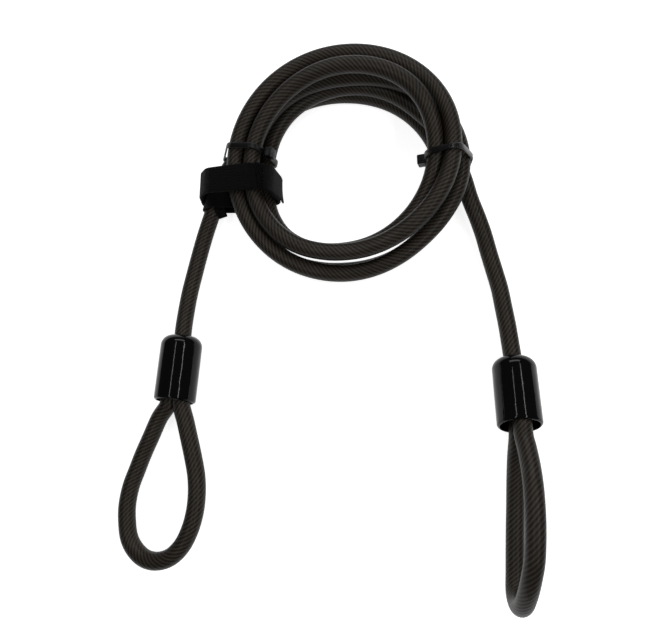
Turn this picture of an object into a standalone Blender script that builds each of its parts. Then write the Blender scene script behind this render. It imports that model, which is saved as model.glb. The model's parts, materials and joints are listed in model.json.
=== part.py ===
"""Coiled security cable with an eye at each end.

A jacketed steel rope lies in a hand-wound coil that two cable ties and a hook-and-loop strap hold together.
Each free end runs through a moulded boot over a crimped ferrule and closes into a teardrop eye.
Metres, +Z up, resting on z = 0; +Y runs from the eyes towards the coil.
"""

import math

import bmesh
import bpy
from mathutils import Matrix, Vector

MM = 0.001

# Cable
CABLE_RADIUS = 5.0
ROPE_RADIUS = 3.1
JACKET_WALL = 1.25
GAP = 0.3

# Coil: the rope's lay at each eighth of a turn, as (distance from the coil's axis, height of its centre)
COIL_CENTRE = Vector((12.05, 87.0))
EIGHTH_TURN = 45
COIL_STATIONS = (
    (61, 5.5), (55.5, 5), (55.5, 5.5), (57.5, 6.5), (59, 7), (59.5, 7), (64.5, 7.5), (60.2, 15.6),
    (58, 23.5), (55.5, 25.5), (62, 25), (66.5, 25.5), (62, 21.5), (63.5, 17), (66, 18), (67.5, 23),
    (68, 28.5), (68, 31.5), (66, 34.5), (60, 37.5), (54.5, 34), (53, 26), (57, 24), (57, 26),
    (55.5, 33.5), (55, 40), (55, 40), (51, 32), (48.5, 23), (49.5, 16), (54.3, 11.5), (50.8, 11.2),
    (53.5, 14.5), (55, 15.5), (56, 16.5),
)
LEFT_WAY_IN = ((-73.5, 63, 6.2), (-68.5, 82, 6.8), (-62.5, 96, 6.6))
RIGHT_WAY_OUT = ((64.5, 114, 15.2), (73.5, 98.5, 14.8), (80, 83.5, 14.8), (84.5, 69, 13), (87.8, 61.2, 11.3))
SECTION_STEP = 7.5
LEFT_BULGE = 344.0
RIGHT_BULGE = 198.5
BULGE_STEP = 0.5
SECTION_POINTS = 20
LAND_HALF_WIDTH = 2.0

# Free ends, from the coil to the boot
LEFT_LEAD = ((-74.6, 58.9, 5.9), (-80, 39, 5.2), (-84.5, 13.5, 7), (-85.7, -3, 9.6))
RIGHT_LEAD = ((89.6, 56.6, 10.3), (95.5, 37.5, 7.2), (101, 16, 7.4), (104, -5.5, 9.8), (105, -15.5, 11.2))

# Boots and ferrules: the boot's neck and mouth on its own axis
LEFT_BOOT = ((-85.5, -13.0, 12.15), (-88, -50.5, 12.6))
RIGHT_BOOT = ((106, -25.2, 12.9), (106.5, -61, 22))
BOOT_RADIUS = 12.1
BOOT_BORE = 10.7
BOOT_NECK = 5.7
BOOT_SHOULDER = 6.5
BOOT_WALL_AT_NECK = 2.0
FERRULE_FROM_MOUTH = 10.0
FERRULE_LENGTH = 18.0
FERRULE_HALF_HEIGHT = 5.7
ROPE_SPREAD = 4.6
JACKET_SPREAD = 5.3
# (distance, spread) of the rope: in from the neck, then back from the mouth
NECK_TURN = ((1, 0.1), (5, 1.6))
THROUGH_FERRULE = ((30, ROPE_SPREAD), (22, ROPE_SPREAD), (14, ROPE_SPREAD), (8, 5), (3, JACKET_SPREAD))
ROPE_END_DEPTH = 29.5

# Eyes: hand-laid teardrops, from one side of the boot's mouth round the nose to the other
LEFT_EYE = (
    (-92.8, -53.8, 10.6), (-98, -61.5, 9), (-103, -72.5, 7.4), (-107.5, -82.5, 6), (-111, -92, 5.3),
    (-114, -101, 5.1), (-115.5, -111, 5.1), (-115, -120, 5.4), (-112.5, -129.5, 6.6), (-107.5, -136, 8.2),
    (-100.5, -140, 10.2), (-92.5, -140.5, 12.2), (-84.5, -137.5, 14), (-78, -131, 15.6),
    (-73.5, -122, 16.8), (-71, -112, 17.5), (-70.5, -102, 17.5), (-71.5, -92.5, 17.2),
    (-74, -82.5, 16.8), (-77, -72.5, 16.2), (-80, -63, 15.4), (-83, -54.2, 14.8),
)
RIGHT_EYE = (
    (106.8, -66.5, 28.6), (107.4, -73, 32), (107.7, -81, 37), (107.5, -89.5, 42), (107, -98.5, 46),
    (106.5, -107.5, 48.2), (106, -116.5, 48.6), (105.5, -126, 47), (104.5, -135.5, 43),
    (104, -143, 37.5), (103.6, -149.5, 30.5), (103.2, -153, 22.5), (103.2, -152.5, 14.8),
    (103.6, -148.5, 9), (104.5, -141, 5.8), (105, -130.5, 5.1), (105.5, -118.5, 5.1),
    (106, -105.5, 5.8), (106, -92, 8.8), (106, -79, 13.2), (106.2, -67.5, 18),
)

# Cable ties
TIE_THICKNESS = 1.2
TIE_WIDTH = 3.6
TIE_GAP = 0.8
LEFT_TIE_ANGLE = 7.5
RIGHT_TIE_ANGLE = 178.0
TIE_SPREAD = 2.0
TIE_HEAD = (5.4, 6.0, 5.0)
LEFT_TIE_HEAD_Z = 24.0
RIGHT_TIE_HEAD_Z = 25.0

# Strap: two turns of one hook-and-loop tape, the outer one ending in a tab on the coil's inner side
STRAP_Y = 78.2
STRAP_WIDTH = 16.0
STRAP_THICKNESS = 1.3
STRAP_GAP = 0.8
LAYER_GAP = 0.5
STRAP_STEP = 4.0
INNER_TURN_SHIFT = -4.0
STRAP_SLACK = ((-76.5, 17.0), (-73.5, 22.0))
TAB_HINGE_ANGLE = 45.0
TAB_END_ANGLE = 9.0
TAB_DROP = 7.0
TAB_HINGE = (-41.2, 34.1)

# Where the free ends bend as they leave the bundle
LEFT_HINGE = (-74.2, 61.7, 6.1)
RIGHT_HINGE = (88.2, 60.5, 11.1)

UNDERSIDE_GAP = 0.35
GROOVE_REACH = 8.0

JACKET = ("smoke_vinyl", (0.045, 0.038, 0.030, 1), 0.0, 0.25)
STEEL = ("galvanised_rope", (0.42, 0.41, 0.39, 1), 1.0, 0.40)
ALUMINIUM = ("crimped_aluminium", (0.70, 0.71, 0.72, 1), 1.0, 0.35)
BOOT_BLACK = ("gloss_black_boot", (0.006, 0.006, 0.007, 1), 0.0, 0.12)
NYLON = ("black_nylon", (0.008, 0.008, 0.009, 1), 0.0, 0.35)
TAPE = ("hook_and_loop_tape", (0.006, 0.007, 0.009, 1), 0.0, 0.85)


def vectors(rows):
    return [Vector(row) for row in rows]


def clear_scene():
    for obj in list(bpy.data.objects):
        bpy.data.objects.remove(obj, do_unlink=True)


def new_collection(name):
    collection = bpy.data.collections.new(name)
    bpy.context.scene.collection.children.link(collection)
    return collection


def material(spec):
    """The material of this name, made once: (name, colour, metallic, roughness)."""
    name, colour, metallic, roughness = spec
    found = bpy.data.materials.get(name)
    if found:
        return found
    made = bpy.data.materials.new(name)
    made.use_nodes = True
    shader = made.node_tree.nodes["Principled BSDF"]
    shader.inputs["Base Color"].default_value = colour
    shader.inputs["Metallic"].default_value = metallic
    shader.inputs["Roughness"].default_value = roughness
    made.diffuse_color = colour
    return made


def place(name, data, collection, spec=None, matrix=None):
    """A new object with this data, in millimetres until its matrix scales it to metres."""
    obj = bpy.data.objects.new(name, data)
    collection.objects.link(obj)
    obj.matrix_world = Matrix.Scale(MM, 4) @ (matrix or Matrix())
    if spec:
        data.materials.append(material(spec))
    return obj


def smooth(points, per_span):
    """A Catmull-Rom curve through the points, with per_span steps from each to the next."""
    ends = [points[0] * 2 - points[1], *points, points[-1] * 2 - points[-2]]
    route = []
    for a, b, c, d in zip(ends, ends[1:], ends[2:], ends[3:]):
        for step in range(per_span):
            t = step / per_span
            bend = (a * 2 - b * 5 + c * 4 - d) * t * t + (b * 3 - a - c * 3 + d) * t**3
            route.append((b * 2 + (c - a) * t + bend) * 0.5)
    route.append(points[-1])
    return route


def poly_curve(name, outlines, closed, dimensions):
    curve = bpy.data.curves.new(name, "CURVE")
    curve.dimensions = dimensions
    for outline in outlines:
        spline = curve.splines.new("POLY")
        spline.points.add(len(outline) - 1)
        for point, place_at in zip(spline.points, outline):
            point.co = (*place_at, 1) if len(place_at) == 3 else (*place_at, 0, 1)
        spline.use_cyclic_u = closed
    return curve


def mesh_of(curve):
    """The curve's evaluated mesh, with its caps welded, and the curve removed."""
    holder = bpy.data.objects.new("holder", curve)
    bpy.context.scene.collection.objects.link(holder)
    graph = bpy.context.evaluated_depsgraph_get()
    mesh = bpy.data.meshes.new_from_object(holder.evaluated_get(graph))
    bpy.data.objects.remove(holder, do_unlink=True)
    cage = bmesh.new()
    cage.from_mesh(mesh)
    bmesh.ops.remove_doubles(cage, verts=cage.verts, dist=1e-4)
    bmesh.ops.recalc_face_normals(cage, faces=cage.faces)
    cage.to_mesh(mesh)
    cage.free()
    return mesh


def rod(name, route, radius, spec, collection):
    """A solid round tube along the route."""
    curve = poly_curve(name, [route], False, "3D")
    curve.bevel_depth = radius
    curve.bevel_resolution = 2
    curve.use_fill_caps = True
    return place(name, curve, collection, spec)


def hollow_tube(name, route, radius, wall, spec, collection):
    """An open-ended tube along the route, with its wall inside the given radius."""
    curve = poly_curve(name, [route], False, "3D")
    curve.bevel_depth = radius
    curve.bevel_resolution = 3
    mesh = mesh_of(curve)
    mesh.shade_smooth()
    obj = place(name, mesh, collection, spec)
    thicken = obj.modifiers.new("wall", "SOLIDIFY")
    thicken.thickness = wall
    thicken.offset = -1
    thicken.use_even_offset = True
    return obj


def flat_ring(name, outlines, thickness):
    """A plate of this thickness from an outer outline and the holes in it, centred on its own plane."""
    curve = poly_curve(name, outlines, True, "2D")
    curve.fill_mode = "BOTH"
    curve.extrude = thickness / 2
    return curve


def hull(discs, radius, lowest):
    """The outline of a taut wrap round the discs, none of it below the lowest height."""
    outline = []
    for step in range(SECTION_POINTS):
        angle = math.tau * (step + 0.5) / SECTION_POINTS
        way = Vector((math.cos(angle), math.sin(angle)))
        centre = max(discs, key=lambda disc: disc.dot(way))
        point = centre + way * radius
        outline.append(Vector((point.x, max(point.y, lowest))))
    return outline


def coil_route():
    """The cable's centre line from where the left end goes under the strap to where the right end leaves."""
    stations = smooth(vectors(COIL_STATIONS), 6)
    route = smooth(vectors(LEFT_WAY_IN), 4)
    for index, (reach, height) in enumerate(stations):
        angle = math.radians(EIGHTH_TURN * (1 + index / 6))
        x = COIL_CENTRE.x - reach * math.cos(angle)
        y = COIL_CENTRE.y + reach * math.sin(angle)
        route.append(Vector((x, y, height)))
    return route + smooth(vectors(RIGHT_WAY_OUT), 4)


def radial_crossings(route, degrees):
    """Where the route crosses the half-plane at this angle, as (distance from the axis, height)."""
    angle = math.radians(degrees)
    outward = Vector((-math.cos(angle), math.sin(angle)))
    along = Vector((-outward.y, outward.x))
    found = []
    for a, b in zip(route, route[1:]):
        from_a, from_b = a.xy - COIL_CENTRE, b.xy - COIL_CENTRE
        side_a, side_b = from_a.dot(along), from_b.dot(along)
        if side_a * side_b > 0 or from_a.dot(outward) < 0:
            continue
        point = a.lerp(b, side_a / (side_a - side_b))
        found.append(Vector(((point.xy - COIL_CENTRE).dot(outward), point.z)))
    return found


def coil_section(route, degrees):
    """The coil's outline in the half-plane at this angle, with a flat land where it rests."""
    outline = hull(radial_crossings(route, degrees), CABLE_RADIUS, 0)
    lowest = sorted(range(SECTION_POINTS), key=lambda index: outline[index].y)[:2]
    middle = (outline[lowest[0]].x + outline[lowest[1]].x) / 2
    for index in lowest:
        side = math.copysign(LAND_HALF_WIDTH, outline[index].x - middle)
        outline[index] = Vector((middle + side, 0))
    return outline


def coil_rings(route):
    """The coil's sections round a full turn, with a step at each place where a free end leaves it."""
    angles = [index * SECTION_STEP for index in range(round(360 / SECTION_STEP))]
    for bulge in (LEFT_BULGE, RIGHT_BULGE):
        angles += [bulge, bulge + BULGE_STEP]
    rings = []
    for degrees in sorted(angles):
        turn = radial_matrix(degrees)
        rings.append([turn @ point.to_3d() for point in coil_section(route, degrees)])
    return rings


def strap_corners(rings, level):
    """What the strap wraps at this Y, as (x, height): the coil's left side and the tape's slack corner."""
    found = [Vector(corner) for corner in STRAP_SLACK]
    for ring, following in zip(rings, rings[1:] + rings[:1]):
        for a, b in zip(ring, following):
            if (a.y - level) * (b.y - level) <= 0 and a.x < COIL_CENTRE.x:
                point = a.lerp(b, (level - a.y) / (b.y - a.y))
                found.append(Vector((point.x, point.z)))
    return found


def radial_matrix(degrees):
    """Turns a flat outline of (distance from the axis, height) into the half-plane at this angle."""
    angle = math.radians(degrees)
    outward = Vector((-math.cos(angle), math.sin(angle), 0))
    up = Vector((0, 0, 1))
    turn = Matrix((outward, up, outward.cross(up))).transposed()
    return Matrix.Translation(COIL_CENTRE.to_3d()) @ turn.to_4x4()


def box(name, low, high, collection, matrix=None, spec=None):
    low, high = Vector(low), Vector(high)
    cage = bmesh.new()
    size = Matrix.Diagonal((*(high - low), 1))
    bmesh.ops.create_cube(cage, size=1, matrix=Matrix.Translation((low + high) / 2) @ size)
    mesh = bpy.data.meshes.new(name)
    cage.to_mesh(mesh)
    cage.free()
    return place(name, mesh, collection, spec, matrix)


def finish(name, cage, collection, spec, matrix=None):
    """The cage as an object, triangulated and facing out."""
    bmesh.ops.triangulate(cage, faces=cage.faces)
    bmesh.ops.recalc_face_normals(cage, faces=cage.faces)
    mesh = bpy.data.meshes.new(name)
    cage.to_mesh(mesh)
    cage.free()
    return place(name, mesh, collection, spec, matrix)


def closed_band(name, slices, collection, spec, matrix):
    """A closed band through slices of (inner outline, outer outline, place along the band's width)."""
    cage = bmesh.new()
    rings = []
    for inner, outer, across in slices:
        corners = [[(point.x, point.y, across) for point in side] for side in (inner, outer)]
        rings.append([[cage.verts.new(corner) for corner in side] for side in corners])
    for index in range(SECTION_POINTS):
        after = (index + 1) % SECTION_POINTS
        for pair, following in zip(rings, rings[1:]):
            for side, next_side in zip(pair, following):
                cage.faces.new((side[index], side[after], next_side[after], next_side[index]))
        for inner, outer in (rings[0], rings[-1]):
            cage.faces.new((inner[index], inner[after], outer[after], outer[index]))
    return finish(name, cage, collection, spec, matrix)


def hang(name, position, children, collection):
    """An empty on the joint's axis, with these objects moving with it."""
    empty = bpy.data.objects.new(name, None)
    collection.objects.link(empty)
    empty.matrix_world = Matrix.Translation(Vector(position) * MM)
    bpy.context.view_layer.update()
    for child in children:
        child.parent = empty
        child.matrix_parent_inverse = empty.matrix_world.inverted()


def hide_cutter(obj):
    obj.hide_render = True
    obj.display_type = "WIRE"


def combine(target, operation, other):
    change = target.modifiers.new(other.name, "BOOLEAN")
    change.operation = operation
    change.object = other
    hide_cutter(other)


def cable_coil(rings, collection):
    """The coil's outer shape: a closed ring lofted through the taut outline of its strands."""
    cage = bmesh.new()
    loops = [[cage.verts.new(point) for point in ring] for ring in rings]
    for ring, following in zip(loops, loops[1:] + loops[:1]):
        for index in range(SECTION_POINTS):
            after = (index + 1) % SECTION_POINTS
            cage.faces.new((ring[index], ring[after], following[after], following[index]))
    coil = finish("cable_coil", cage, collection, JACKET)
    return coil


def cut_groove(coil, name, slices, cutters, matrix):
    """Clears the coil for a band: all that lies outside the slices' inner outlines."""
    cutter = closed_band(name + "_groove", slices, cutters, None, matrix)
    combine(coil, "DIFFERENCE", cutter)


def cable_tie(side, degrees, head_height, route, coil, collection, cutters):
    """A nylon band pulled tight round the coil, its ratchet head on the inner side."""
    corners = []
    for shift in (-TIE_SPREAD, 0, TIE_SPREAD):
        corners += coil_section(route, degrees + shift)
    inner = hull(corners, TIE_GAP, UNDERSIDE_GAP + TIE_THICKNESS)
    outer = hull(corners, TIE_GAP + TIE_THICKNESS, UNDERSIDE_GAP)
    slices = [(inner, outer, across) for across in (-TIE_WIDTH / 2, TIE_WIDTH / 2)]
    tie = closed_band(side + "_tie", slices, collection, NYLON, radial_matrix(degrees))
    clear = hull(corners, TIE_GAP - GAP, UNDERSIDE_GAP + TIE_THICKNESS + GAP)
    beyond = hull(corners, GROOVE_REACH, -GROOVE_REACH)
    slices = [(clear, beyond, across) for across in (-TIE_WIDTH / 2 - GAP, TIE_WIDTH / 2 + GAP)]
    cut_groove(coil, side + "_tie", slices, cutters, radial_matrix(degrees))
    wide, across, tall = TIE_HEAD
    seat = wall_frame(inner, head_height)
    low = (TIE_THICKNESS / 2, -tall / 2, -across / 2)
    high = (TIE_THICKNESS / 2 + wide, tall / 2, across / 2)
    head = box(side + "_tie_head", low, high, cutters, radial_matrix(degrees) @ seat)
    soften = head.modifiers.new("edges", "BEVEL")
    soften.width = 0.8
    combine(tie, "UNION", head)


def wall_frame(outline, height):
    """Axes on the outline's side nearest the coil's axis at this height: X straight out of that wall."""
    for a, b in zip(outline, outline[1:] + outline[:1]):
        if a.y > height >= b.y:
            out = Vector((b.y - a.y, a.x - b.x)).normalized()
            seat = a.lerp(b, (a.y - height) / (a.y - b.y))
            turn = Matrix.Rotation(math.atan2(out.y, out.x), 4, "Z")
            return Matrix.Translation(seat.to_3d()) @ turn
    return Matrix()


def strap_levels(shift, margin=0):
    """The Y of each slice through a turn of the tape, the outer two moved out by the margin."""
    count = round(STRAP_WIDTH / STRAP_STEP)
    levels = [STRAP_Y + shift + STRAP_STEP * (step - count / 2) for step in range(count + 1)]
    levels[0] -= margin
    levels[-1] += margin
    return levels


def strap_turn(name, rings, layer, shift, coil, collection, cutters):
    """One closed turn of the tape round the coil and the left end of the cable."""
    upright = Matrix.Rotation(math.pi / 2, 4, "X")
    inside = STRAP_GAP + layer * (STRAP_THICKNESS + LAYER_GAP)
    underside = UNDERSIDE_GAP + (1 - layer) * (STRAP_THICKNESS + LAYER_GAP)
    slices = []
    for level in strap_levels(shift):
        corners = strap_corners(rings, level)
        inner = hull(corners, inside, underside + STRAP_THICKNESS)
        outer = hull(corners, inside + STRAP_THICKNESS, underside)
        slices.append((inner, outer, -level))
    closed_band(name, slices, collection, TAPE, upright)
    slices = []
    for level in strap_levels(shift, GAP):
        corners = strap_corners(rings, level)
        clear = hull(corners, inside - GAP, underside + STRAP_THICKNESS + GAP)
        slices.append((clear, hull(corners, GROOVE_REACH, -GROOVE_REACH), -level))
    cut_groove(coil, name, slices, cutters, upright)


def strap_tab(rings, collection):
    """The tape's free end, from the top of its bend down the coil's inner side."""
    inside = STRAP_GAP + 2 * (STRAP_THICKNESS + LAYER_GAP)
    cage = bmesh.new()
    chains = []
    for level in strap_levels(0):
        corners = strap_corners(rings, level)
        loops = [hull(corners, inside + extra, 0) for extra in (0, STRAP_THICKNESS)]
        angles = (TAB_HINGE_ANGLE, TAB_END_ANGLE)
        first, last = [round(angle * SECTION_POINTS / 360 - 0.5) for angle in angles]
        chain = [loops[0][index] for index in range(first, last - 1, -1)]
        chain += [loop[last] - Vector((0, TAB_DROP)) for loop in loops]
        chain += [loops[1][index] for index in range(last, first + 1)]
        chains.append([cage.verts.new((point.x, level, point.y)) for point in chain])
    for ring, following in zip(chains, chains[1:]):
        for index in range(len(ring)):
            after = (index + 1) % len(ring)
            cage.faces.new((ring[index], ring[after], following[after], following[index]))
    for ring in (chains[0], chains[-1]):
        half = len(ring) // 2
        for index in range(half - 1):
            cage.faces.new((ring[index], ring[index + 1], ring[-2 - index], ring[-1 - index]))
    return finish("strap_tab", cage, collection, TAPE)


def boot_profile(length):
    """The turned section from the neck (height 0) to the mouth: down the outside, then back up the bore."""
    outside = [(BOOT_RADIUS - 0.4, length), (BOOT_RADIUS, length - 0.6)]
    inside = []
    for step in range(6):
        angle = math.pi / 2 * step / 5
        drop = BOOT_SHOULDER * (1 - math.sin(angle))
        outer_reach = BOOT_NECK + (BOOT_RADIUS - BOOT_NECK) * math.cos(angle)
        inner_reach = BOOT_NECK + (BOOT_BORE - BOOT_NECK) * math.cos(angle)
        outside.append((outer_reach, BOOT_SHOULDER * (1 - math.sin(angle))))
        inside.append((inner_reach, BOOT_WALL_AT_NECK + drop))
    return outside + inside[::-1] + [(BOOT_BORE, length)]


def boot(name, neck, mouth, collection):
    """A moulded shell with rounded shoulders, turned about the cable's axis and open at the mouth."""
    axis = mouth - neck
    profile = [(reach, 0, height) for reach, height in boot_profile(axis.length)]
    mesh = bpy.data.meshes.new(name)
    edges = [(index, (index + 1) % len(profile)) for index in range(len(profile))]
    mesh.from_pydata(profile, edges, [])
    turn = axis.to_track_quat("Z", "Y").to_matrix().to_4x4()
    obj = place(name, mesh, collection, BOOT_BLACK, Matrix.Translation(neck) @ turn)
    screw = obj.modifiers.new("turn", "SCREW")
    screw.steps = 32
    screw.render_steps = 32
    screw.use_merge_vertices = True
    screw.merge_threshold = 0.0001
    return obj


def circle(centre_x, radius, count):
    angles = [math.tau * step / count for step in range(count)]
    return [Vector((centre_x + radius * math.cos(angle), radius * math.sin(angle))) for angle in angles]


def ferrule(name, frame, collection):
    """A double-barrel sleeve crimped over the rope and its returning end."""
    outline = []
    for side in (1, -1):
        for step in range(9):
            angle = math.pi * (step / 8 - 0.5) + (0 if side > 0 else math.pi)
            way = Vector((math.cos(angle), math.sin(angle)))
            outline.append(Vector((side * ROPE_SPREAD, 0)) + way * FERRULE_HALF_HEIGHT)
    bores = [circle(side * ROPE_SPREAD, ROPE_RADIUS + 2 * GAP, 16) for side in (1, -1)]
    curve = flat_ring(name, [outline, *bores], FERRULE_LENGTH)
    middle = Matrix.Translation((0, 0, -FERRULE_FROM_MOUTH - FERRULE_LENGTH / 2))
    return place(name, mesh_of(curve), collection, ALUMINIUM, frame @ middle)


def boot_frame(neck, mouth, eye):
    """Axes at the boot's mouth: X from the eye's first limb to its last, Z out of the mouth."""
    axis = (mouth - neck).normalized()
    across = eye[-1] - eye[0]
    across = (across - axis * across.dot(axis)).normalized()
    turn = Matrix((across, axis.cross(across), axis)).transposed().to_4x4()
    return Matrix.Translation(mouth) @ turn


def cable_end(side, hinge, lead, ends, eye, collection):
    """One free end: lead jacket, rope, ferrule, boot and eye jacket."""
    lead, (neck, mouth), eye = vectors(lead), vectors(ends), vectors(eye)
    frame = boot_frame(neck, mouth, eye)
    depth = (mouth - neck).length

    def inside(distance, spread):
        return frame @ Vector((spread, 0, -distance))

    way_in = [inside(depth - inset, -spread) for inset, spread in NECK_TURN]
    in_first = [inside(distance, -spread) for distance, spread in THROUGH_FERRULE]
    in_last = [inside(distance, spread) for distance, spread in THROUGH_FERRULE[::-1]]
    in_last[-1] = inside(ROPE_END_DEPTH, ROPE_SPREAD)
    controls = lead + way_in + in_first + eye + in_last
    route = smooth(controls, 2)
    lead_end = 2 * len(lead)
    eye_start = 2 * (len(lead) + len(way_in) + len(in_first) - 1)
    eye_end = eye_start + 2 * (len(eye) + 1)
    jackets = (("_lead_jacket", 0, lead_end), ("_eye_jacket", eye_start, eye_end))
    pieces = [
        hollow_tube(side + label, route[first : last + 1], CABLE_RADIUS, JACKET_WALL, JACKET, collection)
        for label, first, last in jackets
    ]
    pieces.append(rod(side + "_rope", route, ROPE_RADIUS, STEEL, collection))
    pieces.append(ferrule(side + "_ferrule", frame, collection))
    pieces.append(boot(side + "_boot", neck, mouth, collection))
    hang(side + "_end", hinge, pieces, collection)


def main():
    clear_scene()
    parts = new_collection("security_cable")
    cutters = new_collection("cutters")
    route = coil_route()
    rings = coil_rings(route)
    coil = cable_coil(rings, parts)
    cable_tie("left", LEFT_TIE_ANGLE, LEFT_TIE_HEAD_Z, route, coil, parts, cutters)
    cable_tie("right", RIGHT_TIE_ANGLE, RIGHT_TIE_HEAD_Z, route, coil, parts, cutters)
    strap_turn("strap_inner_turn", rings, 0, INNER_TURN_SHIFT, coil, parts, cutters)
    strap_turn("strap_outer_turn", rings, 1, 0, coil, parts, cutters)
    tab = strap_tab(rings, parts)
    hang("strap_peel", (TAB_HINGE[0], STRAP_Y, TAB_HINGE[1]), [tab], parts)
    cable_end("left", LEFT_HINGE, LEFT_LEAD, LEFT_BOOT, LEFT_EYE, parts)
    cable_end("right", RIGHT_HINGE, RIGHT_LEAD, RIGHT_BOOT, RIGHT_EYE, parts)


main()
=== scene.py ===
import json
import math

import bmesh
import bpy
from mathutils import Matrix, Vector
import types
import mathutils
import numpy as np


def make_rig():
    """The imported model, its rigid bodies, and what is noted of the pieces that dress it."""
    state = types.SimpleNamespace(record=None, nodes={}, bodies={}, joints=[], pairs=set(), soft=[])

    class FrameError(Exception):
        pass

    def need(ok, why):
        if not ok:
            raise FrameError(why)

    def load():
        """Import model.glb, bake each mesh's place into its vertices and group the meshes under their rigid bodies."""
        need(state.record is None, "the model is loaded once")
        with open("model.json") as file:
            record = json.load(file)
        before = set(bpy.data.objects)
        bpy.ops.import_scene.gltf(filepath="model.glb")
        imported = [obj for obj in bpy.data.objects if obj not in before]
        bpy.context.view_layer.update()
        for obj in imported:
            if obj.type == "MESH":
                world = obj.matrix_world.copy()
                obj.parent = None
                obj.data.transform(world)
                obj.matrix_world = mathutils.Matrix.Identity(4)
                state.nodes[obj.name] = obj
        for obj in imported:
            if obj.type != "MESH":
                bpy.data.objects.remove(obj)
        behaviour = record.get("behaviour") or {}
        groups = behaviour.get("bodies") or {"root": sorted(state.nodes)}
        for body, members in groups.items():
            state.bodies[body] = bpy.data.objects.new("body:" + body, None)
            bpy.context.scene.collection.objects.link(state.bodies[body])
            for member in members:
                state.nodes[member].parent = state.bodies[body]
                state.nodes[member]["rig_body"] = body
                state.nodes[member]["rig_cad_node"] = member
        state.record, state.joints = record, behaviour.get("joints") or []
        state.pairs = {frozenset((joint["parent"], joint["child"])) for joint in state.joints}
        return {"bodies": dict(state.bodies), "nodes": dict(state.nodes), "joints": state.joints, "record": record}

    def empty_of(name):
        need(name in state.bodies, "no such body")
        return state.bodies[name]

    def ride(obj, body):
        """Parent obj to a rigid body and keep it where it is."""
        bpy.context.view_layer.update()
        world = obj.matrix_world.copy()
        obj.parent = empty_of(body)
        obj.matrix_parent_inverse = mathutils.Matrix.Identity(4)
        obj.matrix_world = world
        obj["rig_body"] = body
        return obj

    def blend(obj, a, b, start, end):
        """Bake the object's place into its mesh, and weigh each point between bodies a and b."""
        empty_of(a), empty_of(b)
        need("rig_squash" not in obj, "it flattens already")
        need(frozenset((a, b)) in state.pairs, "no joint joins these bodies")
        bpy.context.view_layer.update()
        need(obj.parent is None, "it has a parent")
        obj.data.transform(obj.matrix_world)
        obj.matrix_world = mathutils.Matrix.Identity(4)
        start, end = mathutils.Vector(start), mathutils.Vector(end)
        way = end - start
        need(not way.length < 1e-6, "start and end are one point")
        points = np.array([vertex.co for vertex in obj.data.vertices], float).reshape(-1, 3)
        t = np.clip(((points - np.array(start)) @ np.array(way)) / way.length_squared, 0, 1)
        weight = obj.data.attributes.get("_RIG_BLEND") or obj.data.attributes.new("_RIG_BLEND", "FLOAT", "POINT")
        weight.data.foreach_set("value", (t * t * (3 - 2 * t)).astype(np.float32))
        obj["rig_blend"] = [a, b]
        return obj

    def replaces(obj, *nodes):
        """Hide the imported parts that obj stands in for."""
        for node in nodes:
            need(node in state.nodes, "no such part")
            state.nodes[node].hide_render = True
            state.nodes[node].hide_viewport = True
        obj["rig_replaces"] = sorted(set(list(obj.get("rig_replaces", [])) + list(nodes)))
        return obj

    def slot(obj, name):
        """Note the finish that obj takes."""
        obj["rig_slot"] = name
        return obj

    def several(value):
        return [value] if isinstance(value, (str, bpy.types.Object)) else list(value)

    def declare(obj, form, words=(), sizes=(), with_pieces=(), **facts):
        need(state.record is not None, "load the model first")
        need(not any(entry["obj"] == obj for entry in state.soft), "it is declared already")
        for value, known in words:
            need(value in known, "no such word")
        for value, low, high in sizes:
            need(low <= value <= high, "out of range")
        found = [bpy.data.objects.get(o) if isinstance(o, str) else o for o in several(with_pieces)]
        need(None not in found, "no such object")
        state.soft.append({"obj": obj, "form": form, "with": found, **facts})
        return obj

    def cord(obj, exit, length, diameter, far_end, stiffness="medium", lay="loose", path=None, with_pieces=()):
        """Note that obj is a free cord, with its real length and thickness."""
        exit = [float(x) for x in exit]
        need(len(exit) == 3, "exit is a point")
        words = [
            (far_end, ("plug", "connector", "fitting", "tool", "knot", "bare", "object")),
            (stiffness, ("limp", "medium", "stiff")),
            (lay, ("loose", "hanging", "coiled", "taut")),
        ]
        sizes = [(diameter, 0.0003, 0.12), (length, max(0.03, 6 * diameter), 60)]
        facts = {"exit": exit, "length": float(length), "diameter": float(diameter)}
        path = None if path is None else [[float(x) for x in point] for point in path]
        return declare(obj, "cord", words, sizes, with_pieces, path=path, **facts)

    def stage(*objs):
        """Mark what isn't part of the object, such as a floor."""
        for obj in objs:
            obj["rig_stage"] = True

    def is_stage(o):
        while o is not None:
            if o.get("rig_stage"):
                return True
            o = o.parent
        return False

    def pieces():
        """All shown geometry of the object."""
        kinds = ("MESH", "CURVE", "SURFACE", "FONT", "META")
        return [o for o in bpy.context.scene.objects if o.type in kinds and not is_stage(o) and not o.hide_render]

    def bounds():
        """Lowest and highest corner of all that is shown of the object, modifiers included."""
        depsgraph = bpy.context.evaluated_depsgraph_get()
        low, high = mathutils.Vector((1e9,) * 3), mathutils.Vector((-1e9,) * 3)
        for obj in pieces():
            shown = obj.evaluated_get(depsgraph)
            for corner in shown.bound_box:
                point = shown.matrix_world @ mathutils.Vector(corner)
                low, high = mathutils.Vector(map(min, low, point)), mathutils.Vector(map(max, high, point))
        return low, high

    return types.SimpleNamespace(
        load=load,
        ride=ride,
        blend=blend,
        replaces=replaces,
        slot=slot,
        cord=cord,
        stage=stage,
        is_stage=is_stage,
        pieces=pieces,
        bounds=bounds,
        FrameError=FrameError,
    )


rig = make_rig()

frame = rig.load()
CAD_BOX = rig.bounds()

bl_info = {
    "name": "Double-Loop Security Cable",
    "version": (1, 0, 0),
    "blender": (4, 5, 0),
    "location": "View3D > Sidebar > Security Cable",
    "description": "Builds a coiled bicycle security cable with a boot and an eye at each end",
    "category": "Object",
}

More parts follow.
